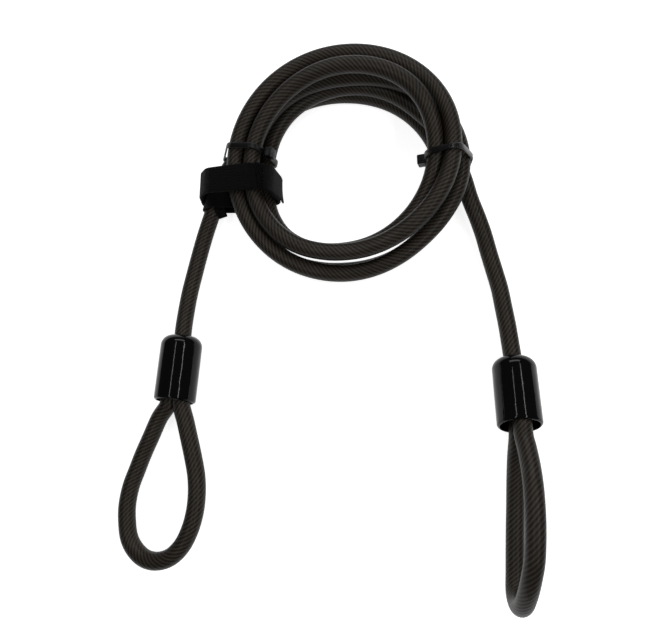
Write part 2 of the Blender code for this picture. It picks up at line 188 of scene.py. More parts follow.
MM = 0.001

# The cable's lay in millimetres.
# The coil is given at each eighth of a turn, as (distance from its axis, height).
COIL_CENTRE = Vector((12.05, 87.0))
EIGHTH_TURN = 45
COIL_STATIONS = (
    (61, 5.5), (55.5, 5), (55.5, 5.5), (57.5, 6.5), (59, 7), (59.5, 7), (64.5, 7.5), (60.2, 15.6),
    (58, 23.5), (55.5, 25.5), (62, 25), (66.5, 25.5), (62, 21.5), (63.5, 17), (66, 18), (67.5, 23),
    (68, 28.5), (68, 31.5), (66, 34.5), (60, 37.5), (54.5, 34), (53, 26), (57, 24), (57, 26),
    (55.5, 33.5), (55, 40), (55, 40), (51, 32), (48.5, 23), (49.5, 16), (54.3, 11.5), (50.8, 11.2),
    (53.5, 14.5), (55, 15.5), (56, 16.5),
)
LEFT_LEAD = (
    (-85.6, -15, 12.2), (-85.7, -7, 10.6), (-85.5, 1.5, 8.7), (-84.5, 13.5, 7), (-82.5, 26, 5.8),
    (-80, 39, 5.2), (-77, 51.5, 5.4), (-73, 65, 6.2), (-68.5, 82, 6.8), (-62.5, 96, 6.6), (-49.6, 115.7, 6),
)
RIGHT_LEAD = (
    (64.5, 114, 15.2), (73.5, 98.5, 14.8), (80, 83.5, 14.8), (84.5, 69, 13), (89, 58, 10.5),
    (92.5, 48.5, 8.3), (95.5, 37.5, 7), (98.5, 26.5, 6.6), (101, 16, 7.2), (102.5, 5.5, 8.4),
    (104, -5.5, 9.8), (105, -15.5, 11.2), (106.05, -28, 13.6),
)
LEFT_EYE = (
    (-92.8, -53.8, 10.6), (-98, -61.5, 9), (-103, -72.5, 7.4), (-107.5, -82.5, 6), (-111, -92, 5.3),
    (-114, -101, 5.1), (-115.5, -111, 5.1), (-115, -120, 5.4), (-112.5, -129.5, 6.6), (-107.5, -136, 8.2),
    (-100.5, -140, 10.2), (-92.5, -140.5, 12.2), (-84.5, -137.5, 14), (-78, -131, 15.6),
    (-73.5, -122, 16.8), (-71, -112, 17.5), (-70.5, -102, 17.5), (-71.5, -92.5, 17.2),
    (-74, -82.5, 16.8), (-77, -72.5, 16.2), (-80, -63, 15.4), (-83, -54.2, 14.8),
)
RIGHT_EYE = (
    (106.8, -66.5, 28.6), (107.4, -73, 32), (107.7, -81, 37), (107.5, -89.5, 42), (107, -98.5, 46),
    (106.5, -107.5, 48.2), (106, -116.5, 48.6), (105.5, -126, 47), (104.5, -135.5, 43),
    (104, -143, 37.5), (103.6, -149.5, 30.5), (103.2, -153, 22.5), (103.2, -152.5, 14.8),
    (103.6, -148.5, 9), (104.5, -141, 5.8), (105, -130.5, 5.1), (105.5, -118.5, 5.1),
    (106, -105.5, 5.8), (106, -92, 8.8), (106, -79, 13.2), (106.2, -67.5, 18),
)
EYES = {"left": LEFT_EYE, "right": RIGHT_EYE}
# How far each limb of an eye lies from the boot's axis, and how deep it is followed into the mouth
EYE_MOUTH_SPREAD = 5.3
EYE_MOUTH_DEPTHS = (8, 3)

# Each boot's neck and mouth, and the slant of its mouth in degrees
BOOTS = {
    "left": ((-85.5, -13.0, 12.15), (-88, -50.5, 12.6)),
    "right": ((106, -25.2, 12.9), (106.5, -61, 22)),
}
MOUTH_SLANT = 7

# The coil's points are COIL_STEP degrees apart, and each span of a route has STEPS_PER_POINT steps
COIL_STEP = 15
STEPS_PER_POINT = 8
TUBE_SIDES = 24

# The left end stops at this point of its lead, and the right end starts at this point of its own
LEFT_SPLIT = 8
RIGHT_SPLIT = 1

# Where each free end bends as it leaves the bundle
BENDS = {
    "left": ((-71.5, 70.5, 6.4), (-77.5, 52.0, 5.4)),
    "right": ((84.5, 69.0, 13.0), (92.5, 48.5, 8.3)),
}

# In metres: how far a wrap stays off the floor, and how near two corners must be to be one
FLOOR_GAP = 0.0004
SAME_PLACE = 1e-6
SHARP_EDGE = math.radians(50)

# The stage: metres and degrees, then each lamp's place, size and power
FLOOR_SIZE = 40
CAMERA_PLACE = (0.03435, -0.0573, 0.3577)
CAMERA_PITCH = 9.735
CAMERA_YAW = 5.365
CAMERA_LENS = 32.877
CAMERA_SENSOR = 36
CAMERA_NEAR = 0.01
LAMPS = {
    "back_box": ((0.0, 1.1, 0.8), (1.2, 0.3), 6),
    "left_strip": ((-0.30, -0.05, 0.9), (0.04, 1.4), 2.4),
    "right_strip": ((0.45, -0.05, 0.8), (0.04, 1.4), 3.2),
}
WORLD_STRENGTH = 0.05


# ---------------------------------------------------------------- settings


class SecurityCableSettings(bpy.types.PropertyGroup):
    cable_diameter: bpy.props.FloatProperty(
        name="Cable diameter", description="Outside of the vinyl jacket", default=0.010, unit="LENGTH")
    strand_count: bpy.props.IntProperty(
        name="Strands", description="Steel strands seen through the jacket", default=12, min=4)
    strand_lay: bpy.props.FloatProperty(
        name="Strand lay", description="Length of one full twist of a strand", default=0.034, unit="LENGTH")
    strand_light: bpy.props.FloatVectorProperty(
        name="Strand crest", description="Steel under the smoke jacket where it catches light",
        default=(0.0520, 0.0430, 0.0330), size=3, subtype="COLOR")
    strand_dark: bpy.props.FloatVectorProperty(
        name="Strand valley", description="Jacket colour between the strands",
        default=(0.0120, 0.0100, 0.0076), size=3, subtype="COLOR")
    boot_radius: bpy.props.FloatProperty(
        name="Boot radius", description="Outside of the moulded boot", default=0.0121, unit="LENGTH")
    boot_wall: bpy.props.FloatProperty(
        name="Boot wall", description="Thickness of the boot at its mouth", default=0.0014, unit="LENGTH")
    boot_colour: bpy.props.FloatVectorProperty(
        name="Boot colour", description="Glossy black of the boots",
        default=(0.0035, 0.0035, 0.004), size=3, subtype="COLOR")
    tie_width: bpy.props.FloatProperty(
        name="Tie width", description="Width of the nylon ties", default=0.0036, unit="LENGTH")
    tie_thickness: bpy.props.FloatProperty(
        name="Tie thickness", description="Thickness of the nylon ties", default=0.0012, unit="LENGTH")
    strap_width: bpy.props.FloatProperty(
        name="Strap width", description="Width of the hook-and-loop strap", default=0.016, unit="LENGTH")
    strap_thickness: bpy.props.FloatProperty(
        name="Strap thickness", description="Thickness of the hook-and-loop strap",
        default=0.0013, unit="LENGTH")
    strap_colour: bpy.props.FloatVectorProperty(
        name="Strap colour", description="Colour of the hook-and-loop strap",
        default=(0.0007, 0.0007, 0.0008), size=3, subtype="COLOR")


def settings():
    return bpy.context.scene.security_cable


# ---------------------------------------------------------------- routes


def metres(rows):
    return [Vector(row) * MM for row in rows]


def smooth(points, per_span):
    """A Catmull-Rom curve through the points, with per_span steps from each to the next."""
    ends = [points[0] * 2 - points[1], *points, points[-1] * 2 - points[-2]]
    route = []
    for a, b, c, d in zip(ends, ends[1:], ends[2:], ends[3:]):
        for step in range(per_span):
            t = step / per_span
            bend = (a * 2 - b * 5 + c * 4 - d) * t * t + (b * 3 - a - c * 3 + d) * t**3
            route.append((b * 2 + (c - a) * t + bend) * 0.5)
    route.append(points[-1].copy())
    return route


def coil_points():
    """The coil's centre line every COIL_STEP degrees, worked out round its axis."""
    per_station = EIGHTH_TURN // COIL_STEP
    points = []
    stations = smooth([Vector(row) for row in COIL_STATIONS], per_station)
    for index, (reach, height) in enumerate(stations):
        angle = math.radians(EIGHTH_TURN + COIL_STEP * index)
        x = COIL_CENTRE.x - reach * math.cos(angle)
        y = COIL_CENTRE.y + reach * math.sin(angle)
        points.append(Vector((x, y, height)) * MM)
    return points


def main_route():
    """The cable from boot to boot, with the places along it where the left end and the right end begin."""
    left, coil, right = metres(LEFT_LEAD), coil_points(), metres(RIGHT_LEAD)
    route = smooth(left + coil + right, STEPS_PER_POINT)
    first = LEFT_SPLIT * STEPS_PER_POINT
    last = (len(left) + len(coil) + RIGHT_SPLIT) * STEPS_PER_POINT
    return route, first, last


def boot_frame(side):
    """Axes at the boot's mouth: X from the eye's first limb to its last, Z out of the mouth."""
    neck, mouth = metres(BOOTS[side])
    eye = metres(EYES[side])
    axis = (mouth - neck).normalized()
    across = eye[-1] - eye[0]
    across = (across - axis * across.dot(axis)).normalized()
    turn = Matrix((across, axis.cross(across), axis)).transposed().to_4x4()
    return Matrix.Translation(mouth) @ turn


def eye_route(side):
    """An eye's centre line, from inside the boot's mouth round the nose and back."""
    seat = boot_frame(side)
    spread = EYE_MOUTH_SPREAD * MM
    into = [seat @ Vector((-spread, 0, -depth * MM)) for depth in EYE_MOUTH_DEPTHS]
    back = [seat @ Vector((spread, 0, -depth * MM)) for depth in reversed(EYE_MOUTH_DEPTHS)]
    return smooth(into + metres(EYES[side]) + back, STEPS_PER_POINT)


def length_of(route):
    return sum((b - a).length for a, b in zip(route, route[1:]))


def along_at(route, index):
    """The route's direction at this point of it."""
    before, after = route[max(index - 1, 0)], route[min(index + 1, len(route) - 1)]
    return (after - before).normalized()


def carried_normals(route):
    """A direction across the route at each point, carried along it without twisting."""
    normals = []
    side = along_at(route, 0).orthogonal()
    for index in range(len(route)):
        along = along_at(route, index)
        side = (side - along * side.dot(along)).normalized()
        normals.append(side)
    return normals


# ---------------------------------------------------------------- mesh helpers


def deselect():
    bpy.ops.object.select_all(action="DESELECT")


def take(obj):
    """Makes this the only selected object and the active one."""
    deselect()
    obj.select_set(True)
    bpy.context.view_layer.objects.active = obj


def select_where(obj, test):
    """Leaves the object in edit mode with only the vertices whose place passes the test selected."""
    take(obj)
    bpy.ops.object.mode_set(mode="EDIT")
    bpy.ops.mesh.select_mode(type="VERT")
    bpy.ops.mesh.select_all(action="DESELECT")
    bpy.ops.object.mode_set(mode="OBJECT")
    for vertex in obj.data.vertices:
        vertex.select = test(vertex.co)
    bpy.ops.object.mode_set(mode="EDIT")


def tube(name, route, start_length, normals, radius, material):
    """A jacketed tube along the route, with its turn round the tube and its length in metres as its UV."""
    cage = bmesh.new()
    layer = cage.loops.layers.uv.new("strands")
    rings = []
    lengths = [start_length]
    for index, (point, side) in enumerate(zip(route, normals)):
        up = along_at(route, index).cross(side)
        ring = []
        for step in range(TUBE_SIDES):
            angle = math.tau * step / TUBE_SIDES
            ring.append(cage.verts.new(point + (side * math.cos(angle) + up * math.sin(angle)) * radius))
        rings.append(ring)
        if index:
            lengths.append(lengths[-1] + (point - route[index - 1]).length)
    for row, (near, far) in enumerate(zip(rings, rings[1:])):
        for step in range(TUBE_SIDES):
            after = (step + 1) % TUBE_SIDES
            corners = ((row, step), (row, step + 1), (row + 1, step + 1), (row + 1, step))
            face = cage.faces.new((near[step], near[after], far[after], far[step]))
            face.smooth = True
            for loop, (place, turn) in zip(face.loops, corners):
                loop[layer].uv = (turn / TUBE_SIDES, lengths[place])
    cage.faces.new(rings[0][::-1])
    cage.faces.new(rings[-1])
    bmesh.ops.recalc_face_normals(cage, faces=cage.faces)
    mesh = bpy.data.meshes.new(name)
    cage.to_mesh(mesh)
    cage.free()
    obj = bpy.data.objects.new(name, mesh)
    bpy.context.scene.collection.objects.link(obj)
    mesh.materials.append(material)
    return obj


def shaped_grid(name, columns, rows, place, scale, closed, material):
    """A grid with each corner (column, row) moved to its place. If closed, its ends meet."""
    deselect()
    bpy.ops.mesh.primitive_grid_add(x_subdivisions=columns, y_subdivisions=rows, size=2, calc_uvs=True)
    obj = bpy.context.active_object
    obj.name = obj.data.name = name
    for vertex in obj.data.vertices:
        column = round((vertex.co.x + 1) / 2 * columns)
        row = round((vertex.co.y + 1) / 2 * rows)
        vertex.co = place(column % columns if closed else column, row % rows)
    for corner in obj.data.uv_layers.active.data:
        corner.uv = (corner.uv.x * scale[0], corner.uv.y * scale[1])
    bpy.ops.object.mode_set(mode="EDIT")
    bpy.ops.mesh.select_mode(type="VERT")
    bpy.ops.mesh.select_all(action="SELECT")
    bpy.ops.mesh.remove_doubles(threshold=SAME_PLACE)
    if not closed:
        bpy.ops.mesh.select_all(action="DESELECT")
        bpy.ops.mesh.select_mode(type="EDGE")
        bpy.ops.mesh.select_non_manifold()
        bpy.ops.mesh.fill_holes(sides=0)
        bpy.ops.mesh.select_all(action="SELECT")
    bpy.ops.mesh.normals_make_consistent(inside=False)
    bpy.ops.object.mode_set(mode="OBJECT")
    obj.data.materials.append(material)
    bpy.ops.object.shade_smooth_by_angle(angle=SHARP_EDGE)
    return obj


def turned(name, profile, sides, material):
    """A closed turned shape: a ring extruded from step to step of the profile of (radius, height)."""
    deselect()
    bpy.ops.mesh.primitive_circle_add(vertices=sides, radius=profile[0][0], location=(0, 0, 0))
    obj = bpy.context.active_object
    obj.name = obj.data.name = name
    bpy.ops.object.mode_set(mode="EDIT")
    bpy.ops.mesh.select_all(action="SELECT")
    bpy.ops.transform.translate(value=(0, 0, profile[0][1]))
    for (radius, height), (next_radius, next_height) in zip(profile, profile[1:] + profile[:1]):
        rise = (0, 0, next_height - height)
        bpy.ops.mesh.extrude_region_move(TRANSFORM_OT_translate={"value": rise})
        share = next_radius / radius
        bpy.ops.transform.resize(value=(share, share, 1), center_override=(0, 0, next_height))
    bpy.ops.mesh.select_all(action="SELECT")
    bpy.ops.mesh.remove_doubles(threshold=SAME_PLACE)
    bpy.ops.mesh.normals_make_consistent(inside=False)
    bpy.ops.object.mode_set(mode="OBJECT")
    obj.data.materials.append(material)
    bpy.ops.object.shade_smooth_by_angle(angle=SHARP_EDGE)
    return obj


def arc(centre, radius, first, last, steps):
    """Points round an arc, from angle to angle in degrees."""
    points = []
    for step in range(steps + 1):
        angle = math.radians(first + (last - first) * step / steps)
        points.append((centre[0] + radius * math.cos(angle), centre[1] + radius * math.sin(angle)))
    return points


def band_section(width, thickness, across_steps):
    """A band's rounded section as (place across, height off the wrapped surface), going round once."""
    corner_share, corner_steps, short_of_start = 0.45, 2, 255
    corner = thickness * corner_share
    half = width / 2 - corner
    section = []
    for step in range(across_steps):
        section.append((-half + 2 * half * step / across_steps, 0))
    section += arc((half, corner), corner, -90, 0, corner_steps)
    section += arc((half, thickness - corner), corner, 0, 90, corner_steps)
    for step in range(1, across_steps):
        section.append((half - 2 * half * step / across_steps, thickness))
    section += arc((-half, thickness - corner), corner, 90, 180, corner_steps)
    section += arc((-half, corner), corner, 180, short_of_start, corner_steps)
    return section


# ---------------------------------------------------------------- materials


def new_material(name, colour, metallic=0.0, roughness=0.5):
    material = bpy.data.materials.new(name)
    material.use_nodes = True
    shader = material.node_tree.nodes["Principled BSDF"]
    shader.inputs["Base Color"].default_value = (*colour, 1)
    shader.inputs["Metallic"].default_value = metallic
    shader.inputs["Roughness"].default_value = roughness
    return material, shader


def add(material, kind, **values):
    """A new node with these properties."""
    node = material.node_tree.nodes.new(kind)
    for key, value in values.items():
        setattr(node, key, value)
    return node


def link(material, source, target):
    material.node_tree.links.new(source, target)


def math_node(material, operation, *values):
    """A Math node on sockets or numbers."""
    node = add(material, "ShaderNodeMath", operation=operation)
    for socket, value in zip(node.inputs, values):
        if isinstance(value, (int, float)):
            socket.default_value = value
        else:
            link(material, value, socket)
    return node.outputs[0]


def uv_split(material, **layer):
    """The X and Y of the piece's UV map."""
    place = add(material, "ShaderNodeUVMap", **layer)
    split = add(material, "ShaderNodeSeparateXYZ")
    link(material, place.outputs[0], split.inputs[0])
    return split.outputs[0], split.outputs[1]


def ripple(material, source, length):
    """A wave from -1 to 1 that repeats every length."""
    return math_node(material, "SINE", math_node(material, "MULTIPLY", source, math.tau / length))


def helix(material, layer, starts, lay):
    """A wave from -1 to 1 that winds round the cable this many times side by side."""
    across, along = uv_split(material, uv_map=layer)
    turn = math_node(material, "MULTIPLY", across, starts * math.tau)
    run = math_node(material, "MULTIPLY", along, starts * math.tau / lay)
    return math_node(material, "SINE", math_node(material, "SUBTRACT", turn, run))


def stacked(material, height, other, share):
    """The height with a share of the other added."""
    return math_node(material, "ADD", height, math_node(material, "MULTIPLY", other, share))


def ramp(material, source, stops):
    node = add(material, "ShaderNodeValToRGB")
    elements = node.color_ramp.elements
    while len(elements) < len(stops):
        elements.new(0.5)
    for element, (place, colour) in zip(elements, stops):
        element.position = place
        element.color = (*colour, 1)
    link(material, source, node.inputs[0])
    return node.outputs[0]


def multiplied(material, first, second):
    """Two colours multiplied."""
    node = add(material, "ShaderNodeMix", data_type="RGBA", blend_type="MULTIPLY")
    node.inputs["Factor"].default_value = 1.0
    link(material, first, node.inputs["A"])
    link(material, second, node.inputs["B"])
    return node.outputs["Result"]


def noise(material, scale, detail):
    place = add(material, "ShaderNodeTexCoord")
    node = add(material, "ShaderNodeTexNoise")
    node.inputs["Scale"].default_value = scale
    node.inputs["Detail"].default_value = detail
    link(material, place.outputs["Object"], node.inputs["Vector"])
    return node.outputs["Fac"]


def bump(material, shader, height, strength, distance):
    node = add(material, "ShaderNodeBump")
    node.inputs["Strength"].default_value = strength
    node.inputs["Distance"].default_value = distance
    link(material, height, node.inputs["Height"])
    link(material, node.outputs[0], shader.inputs["Normal"])


def smoke_vinyl():
    """Steel strands under a clear smoke jacket: the strands carry the colour and the bump."""
    s = settings()
    wires_per_strand, wire_lay_share, wire_depth = 3, 1.9, 0.10
    material, shader = new_material("smoke_vinyl_over_strands", s.strand_dark, metallic=0.08, roughness=0.48)
    strands = helix(material, "strands", s.strand_count, s.strand_lay)
    wires = helix(material, "strands", -s.strand_count * wires_per_strand, s.strand_lay * wire_lay_share)
    height = stacked(material, strands, wires, wire_depth)
    share = math_node(material, "MULTIPLY_ADD", height, 0.42, 0.5)
    dark, light = tuple(s.strand_dark), tuple(s.strand_light)
    middle = tuple((a * 0.55 + b * 0.45) for a, b in zip(dark, light))
    colour = ramp(material, share, ((0.12, dark), (0.55, middle), (0.92, light)))
    haze = ramp(material, noise(material, 60, 3), ((0.3, (0.82, 0.80, 0.78)), (0.7, (1.0, 1.0, 1.0))))
    edge = add(material, "ShaderNodeLayerWeight")
    edge.inputs["Blend"].default_value = 0.35
    shade = ramp(material, edge.outputs["Facing"], (
        (0.05, (1.0, 1.0, 1.0)), (0.35, (0.50, 0.49, 0.48)), (0.8, (0.10, 0.09, 0.08))))
    shaded = multiplied(material, multiplied(material, colour, haze), shade)
    link(material, shaded, shader.inputs["Base Color"])
    bump(material, shader, height, 0.16, 0.0003)
    shader.inputs["IOR"].default_value = 1.22
    shader.inputs["Coat Weight"].default_value = 0.12
    shader.inputs["Coat Roughness"].default_value = 0.24
    shader.inputs["Coat IOR"].default_value = 1.35
    return material


def boot_black():
    """Glossy black moulded vinyl, a little uneven where it shrinks over the ferrule."""
    material, shader = new_material("gloss_black_boot", settings().boot_colour)
    swell = noise(material, 95, 2)
    grain = noise(material, 900, 2)
    bump(material, shader, stacked(material, swell, grain, 0.06), 0.35, 0.0005)
    polish = ramp(material, grain, ((0.35, (0.05,) * 3), (0.75, (0.11,) * 3)))
    link(material, polish, shader.inputs["Roughness"])
    shader.inputs["IOR"].default_value = 1.24
    return material


def tie_nylon():
    """Black nylon with a ladder of fine teeth along the band."""
    tooth = 0.0012
    material, shader = new_material("black_nylon", (0.0032, 0.0032, 0.0035), roughness=0.30)
    teeth = ripple(material, uv_split(material)[0], tooth)
    grain = noise(material, 1400, 3)
    bump(material, shader, stacked(material, teeth, grain, 0.6), 0.25, 0.0002)
    shader.inputs["Specular IOR Level"].default_value = 0.3
    return material


def strap_tape():
    """Brushed loop pile over a woven ground."""
    warp_pitch, weft_pitch = 0.0009, 0.0011
    base = tuple(settings().strap_colour)
    lit = tuple(value * 2.0 for value in base)
    material, shader = new_material("hook_and_loop_tape", base, roughness=0.88)
    along, across = uv_split(material)
    warp, weft = ripple(material, along, warp_pitch), ripple(material, across, weft_pitch)
    pile, tufts = noise(material, 1100, 4), noise(material, 300, 2)
    height = stacked(material, pile, math_node(material, "MULTIPLY", warp, weft), 0.35)
    height = math_node(material, "ADD", height, tufts)
    bump(material, shader, height, 0.75, 0.0004)
    colour = ramp(material, math_node(material, "MULTIPLY", height, 0.5), ((0.30, base), (0.75, lit)))
    link(material, colour, shader.inputs["Base Color"])
    shader.inputs["Specular IOR Level"].default_value = 0.12
    shader.inputs["Sheen Weight"].default_value = 0.02
    shader.inputs["Sheen Roughness"].default_value = 0.5
    return material


def grained_metal(name, roughness, dull, bright, scale, depth):
    """Bare metal whose colour and bump follow one fine grain."""
    middle = tuple((a + b) / 2 for a, b in zip(dull, bright))
    material, shader = new_material(name, middle, metallic=1.0, roughness=roughness)
    grain = noise(material, scale, 3)
    bump(material, shader, grain, depth, 0.0003)
    link(material, ramp(material, grain, ((0.3, dull), (0.7, bright))), shader.inputs["Base Color"])
    return material


def galvanised():
    """Bright twisted steel rope, seen only inside the boots' mouths."""
    return grained_metal("galvanised_rope", 0.42, (0.16, 0.155, 0.15), (0.42, 0.41, 0.39), 1500, 0.5)


def crimped():
    """Dull aluminium with press marks."""
    return grained_metal("crimped_aluminium", 0.38, (0.38, 0.385, 0.39), (0.62, 0.63, 0.64), 500, 0.35)


def pale_floor():
    material, shader = new_material("pale_floor", (0.86, 0.86, 0.86), roughness=0.9)
    mottle = ramp(material, noise(material, 4, 2), ((0.3, (0.84, 0.84, 0.84)), (0.7, (0.88, 0.88, 0.88))))
    link(material, mottle, shader.inputs["Base Color"])
    shader.inputs["Emission Color"].default_value = (1, 1, 1, 1)
    shader.inputs["Emission Strength"].default_value = 0.80
    return material


# ---------------------------------------------------------------- operators


class CABLE_OT_stage(bpy.types.Operator):
    """Adds the floor, the camera and the soft studio lights"""

    bl_idname = "security_cable.stage"
    bl_label = "Stage"

    def execute(self, context):
        deselect()
        bpy.ops.mesh.primitive_plane_add(size=FLOOR_SIZE, location=(0, 0, 0))
        floor = context.active_object
        floor.name = "floor"
        floor.data.materials.append(pale_floor())
        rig.stage(floor)
        camera = bpy.data.objects.new("camera", bpy.data.cameras.new("camera"))
        context.scene.collection.objects.link(camera)
        camera.data.lens = CAMERA_LENS
        camera.data.sensor_width = CAMERA_SENSOR
        camera.data.clip_start = CAMERA_NEAR
        pitch = Matrix.Rotation(math.radians(CAMERA_PITCH), 4, "X")
        yaw = Matrix.Rotation(math.radians(CAMERA_YAW), 4, "Y")
        camera.matrix_world = Matrix.Translation(CAMERA_PLACE) @ pitch @ yaw
        context.scene.camera = camera
        for name, (place, size, power) in LAMPS.items():
            self.softbox(name, place, size, power)
        self.world(context, WORLD_STRENGTH)
        context.scene.view_settings.view_transform = "Standard"
        return {"FINISHED"}

    def softbox(self, name, place, size, power):
        """A lamp aimed at the origin, with its long side kept along the object."""
        data = bpy.data.lights.new(name, "AREA")
        data.shape = "RECTANGLE"
        data.size, data.size_y = size
        data.energy = power
        lamp = bpy.data.objects.new(name, data)
        bpy.context.scene.collection.objects.link(lamp)
        lamp.location = place
        lamp.rotation_euler = (-math.atan2(place[1], place[2]), math.atan2(place[0], place[2]), 0)

    def world(self, context, strength):
        world = bpy.data.worlds.new("studio")
        world.use_nodes = True
        background = world.node_tree.nodes["Background"]
        background.inputs["Color"].default_value = (1, 1, 1, 1)
        background.inputs["Strength"].default_value = strength
        context.scene.world = world


class CABLE_OT_cable(bpy.types.Operator):
    """Winds the cable: the coil and its two leads"""

    bl_idname = "security_cable.cable"
    bl_label = "Coil and leads"

    def execute(self, context):
        material = smoke_vinyl()
        diameter = settings().cable_diameter
        route, first, last = main_route()
        normals = carried_normals(route)
        spans = {"left_lead": (0, first), "cable_coil": (first, last), "right_lead": (last, len(route) - 1)}
        for name, (start, end) in spans.items():
            part, across = route[start : end + 1], normals[start : end + 1]
            before = length_of(route[: start + 1])
            piece = tube(name + "_cord", part, before, across, diameter / 2, material)
            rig.slot(piece, "smoke_vinyl")
            if name == "cable_coil":
                self.declare_coil(piece, part, diameter)
            else:
                self.declare_lead(piece, part, diameter, name.split("_")[0])
        return {"FINISHED"}

    def declare_coil(self, piece, route, diameter):
        """The coil rides on the bundle and goes on into a lead at each end."""
        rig.ride(piece, "bundle")
        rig.replaces(piece, "cable_coil")
        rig.cord(piece, exit=route[0], length=length_of(route), diameter=diameter, far_end="object",
                stiffness="stiff", lay="coiled", path=route)

    def declare_lead(self, piece, route, diameter, side):
        """A lead runs from the bundle to its boot, and bends between the two."""
        start_bend, end_bend = metres(BENDS[side])
        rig.blend(piece, "bundle", side + "_end", start=start_bend, end=end_bend)
        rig.replaces(piece, side + "_lead_jacket")
        path = route[::-1] if side == "left" else route
        fittings = [frame["nodes"][side + "_ferrule"], frame["nodes"][side + "_rope"]]
        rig.cord(piece, exit=path[0], length=length_of(path), diameter=diameter, far_end="fitting",
                stiffness="stiff", lay="loose", path=path, with_pieces=fittings)


class CABLE_OT_eyes(bpy.types.Operator):
    """Lays the teardrop eye at each end"""

    bl_idname = "security_cable.eyes"
    bl_label = "Eyes"

    def execute(self, context):
        material = bpy.data.materials["smoke_vinyl_over_strands"]
        diameter = settings().cable_diameter
        for side in EYES:
            route = eye_route(side)
            piece = tube(side + "_eye_cord", route, 0, carried_normals(route), diameter / 2, material)
            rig.slot(piece, "smoke_vinyl")
            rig.ride(piece, side + "_end")
            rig.replaces(piece, side + "_eye_jacket")
            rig.cord(piece, exit=route[0], length=length_of(route), diameter=diameter, far_end="object",
                    stiffness="stiff", lay="loose", path=route)
        return {"FINISHED"}


class CABLE_OT_boots(bpy.types.Operator):
    """Moulds the glossy boots, and finishes the ropes and ferrules inside them"""

    bl_idname = "security_cable.boots"
    bl_label = "Boots"

    SIDES = 64
    # In millimetres: the neck's rounding and its hole, then the mouth's outer and inner roundings
    SHOULDER, NECK, ROLL, LIP = 6.5, 5.25, 1.6, 0.35
    # In millimetres: the neck's chamfer as (run, rise), the rings behind it, and the lip's lap
    NECK_CHAMFER = (0.5, 0.3)
    SEAT = (2.5, 3.5)
    NECK_INSIDE = 2.2
    BORE_FROM = 2
    LIP_LAP = 0.1
    # Shares of the boot's length: its wall's rings, the bore's middle ring
    WALL_RINGS = (0.25, 0.5, 0.75)
    BORE_RING = 0.6
    # The rings past the first share of the boot's length tip about the second
    MOUTH_FROM, MOUTH_HINGE = 0.9, 0.96

    def execute(self, context):
        s = settings()
        material, rope, ferrule = boot_black(), galvanised(), crimped()
        for side in BOOTS:
            neck, mouth = metres(BOOTS[side])
            axis = mouth - neck
            turn = axis.to_track_quat("Z", "Y").to_matrix().to_4x4()
            profile = self.profile(axis.length, s.boot_radius, s.boot_wall)
            piece = turned(side + "_boot_shell", profile, self.SIDES, material)
            self.slant_mouth(piece, axis.length, s.boot_radius, turn)
            piece.data.transform(Matrix.Translation(neck) @ turn)
            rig.slot(piece, "gloss_black_boot")
            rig.ride(piece, side + "_end")
            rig.replaces(piece, side + "_boot")
            for node, finish in ((side + "_rope", rope), (side + "_ferrule", ferrule)):
                slots = frame["nodes"][node].data.materials
                slots.clear()
                slots.append(finish)
        return {"FINISHED"}

    def slant_mouth(self, piece, length, radius, turn):
        """Tips the mouth's rings so that the side nearer the floor reaches further."""
        up = (turn.inverted().to_3x3() @ Vector((0, 0, 1))).to_2d().normalized()
        select_where(piece, lambda place: place.z > length * self.MOUTH_FROM)
        hinge = (up.x * radius, up.y * radius, length * self.MOUTH_HINGE)
        bpy.ops.transform.rotate(
            value=math.radians(MOUTH_SLANT), orient_axis="X",
            orient_matrix=((-up.y, up.x, 0), (up.x, up.y, 0), (0, 0, -1)), orient_type="GLOBAL",
            orient_matrix_type="GLOBAL", center_override=hinge)
        bpy.ops.object.mode_set(mode="OBJECT")

    def profile(self, length, radius, wall):
        """From the neck over the rounded shoulder to the rolled lip, then back up the bore."""
        shoulder, neck, roll, lip = self.SHOULDER * MM, self.NECK * MM, self.ROLL * MM, self.LIP * MM
        bore = radius - wall
        run, rise = self.NECK_CHAMFER
        step_in, depth = self.SEAT
        outside = [(neck, rise * MM), (neck + run * MM, 0.0)]
        outside += arc((radius - shoulder, shoulder), shoulder, -80, 0, 8)
        for share in self.WALL_RINGS:
            outside.append((radius, shoulder + (length - roll - shoulder) * share))
        rim = arc((radius - roll, length - roll), roll, 0, 80, 6)
        rim += arc((bore - self.LIP_LAP * MM + lip, length - lip), lip, 90, 180, 4)
        inside = [(bore, length * self.BORE_RING), (bore, shoulder + self.BORE_FROM * MM)]
        inside += [(bore - step_in * MM, depth * MM), (neck, self.NECK_INSIDE * MM)]
        return outside + rim + inside


def section_at(route, degrees):
    """Where the cable crosses the half-plane at this angle round the coil, as (distance out, height)."""
    centre = COIL_CENTRE * MM
    angle = math.radians(degrees)
    outward = Vector((-math.cos(angle), math.sin(angle)))
    along = Vector((-outward.y, outward.x))
    found = []
    for a, b in zip(route, route[1:]):
        side_a, side_b = (a.xy - centre).dot(along), (b.xy - centre).dot(along)
        if side_a * side_b > 0 or (a.xy - centre).dot(outward) < 0:
            continue
        point = a.lerp(b, side_a / (side_a - side_b))
        found.append(Vector(((point.xy - centre).dot(outward), point.z)))
    return found


def crossing_at(route, level):
    """Where the cable crosses this Y on the coil's left side, as (x, height)."""
    found = []
    for a, b in zip(route, route[1:]):
        if (a.y - level) * (b.y - level) <= 0 and a.x < COIL_CENTRE.x * MM:
            point = a.lerp(b, (level - a.y) / (b.y - a.y))
            found.append(Vector((point.x, point.z)))
    return found


def taut_point(discs, radius, share, lowest):
    """The point of a taut wrap round discs of this radius that faces this share of a turn."""
    angle = math.tau * share
    way = Vector((math.cos(angle), math.sin(angle)))
    point = max(discs, key=lambda disc: disc.dot(way)) + way * radius
    return Vector((point.x, max(point.y, lowest)))


